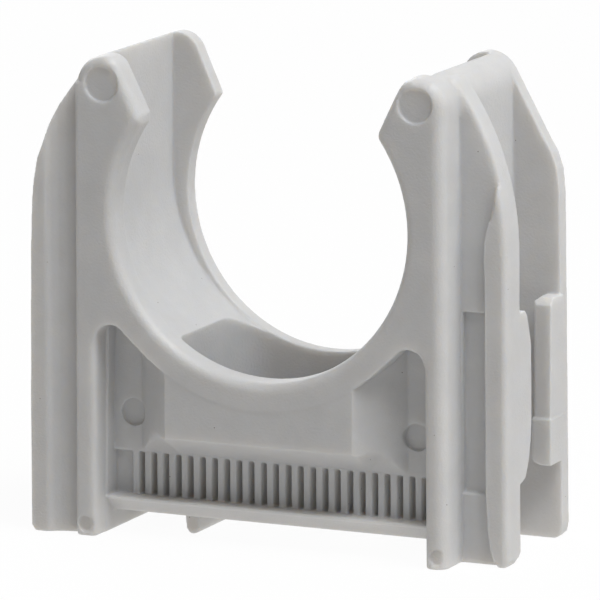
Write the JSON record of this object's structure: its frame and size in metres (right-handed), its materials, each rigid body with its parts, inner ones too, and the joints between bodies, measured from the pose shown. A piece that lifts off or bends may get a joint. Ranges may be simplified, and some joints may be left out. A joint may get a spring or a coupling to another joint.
{
  "type": "pipe clip",
  "caption": "Open-topped plastic clip that a pipe snaps into, screwed to a wall through a pocket under its seat, with a tee rail and a channel that link it to its neighbours.",
  "frame": {"origin": "on the wall plane, under the pipe's axis, at the middle of the clip's depth", "axes": "+Z away from the wall, towards the clip's mouth; +Y along the pipe, from the clip's ribbed front to its flat back; +X towards the tee rail"},
  "size_m": [0.0405, 0.0154, 0.039],
  "materials": {
    "plastic": "light grey moulded plastic with a fine eroded mould texture"
  },
  "bodies": {
    "root": {"pipe_clip": "plastic"}
  },
  "joints": []
}
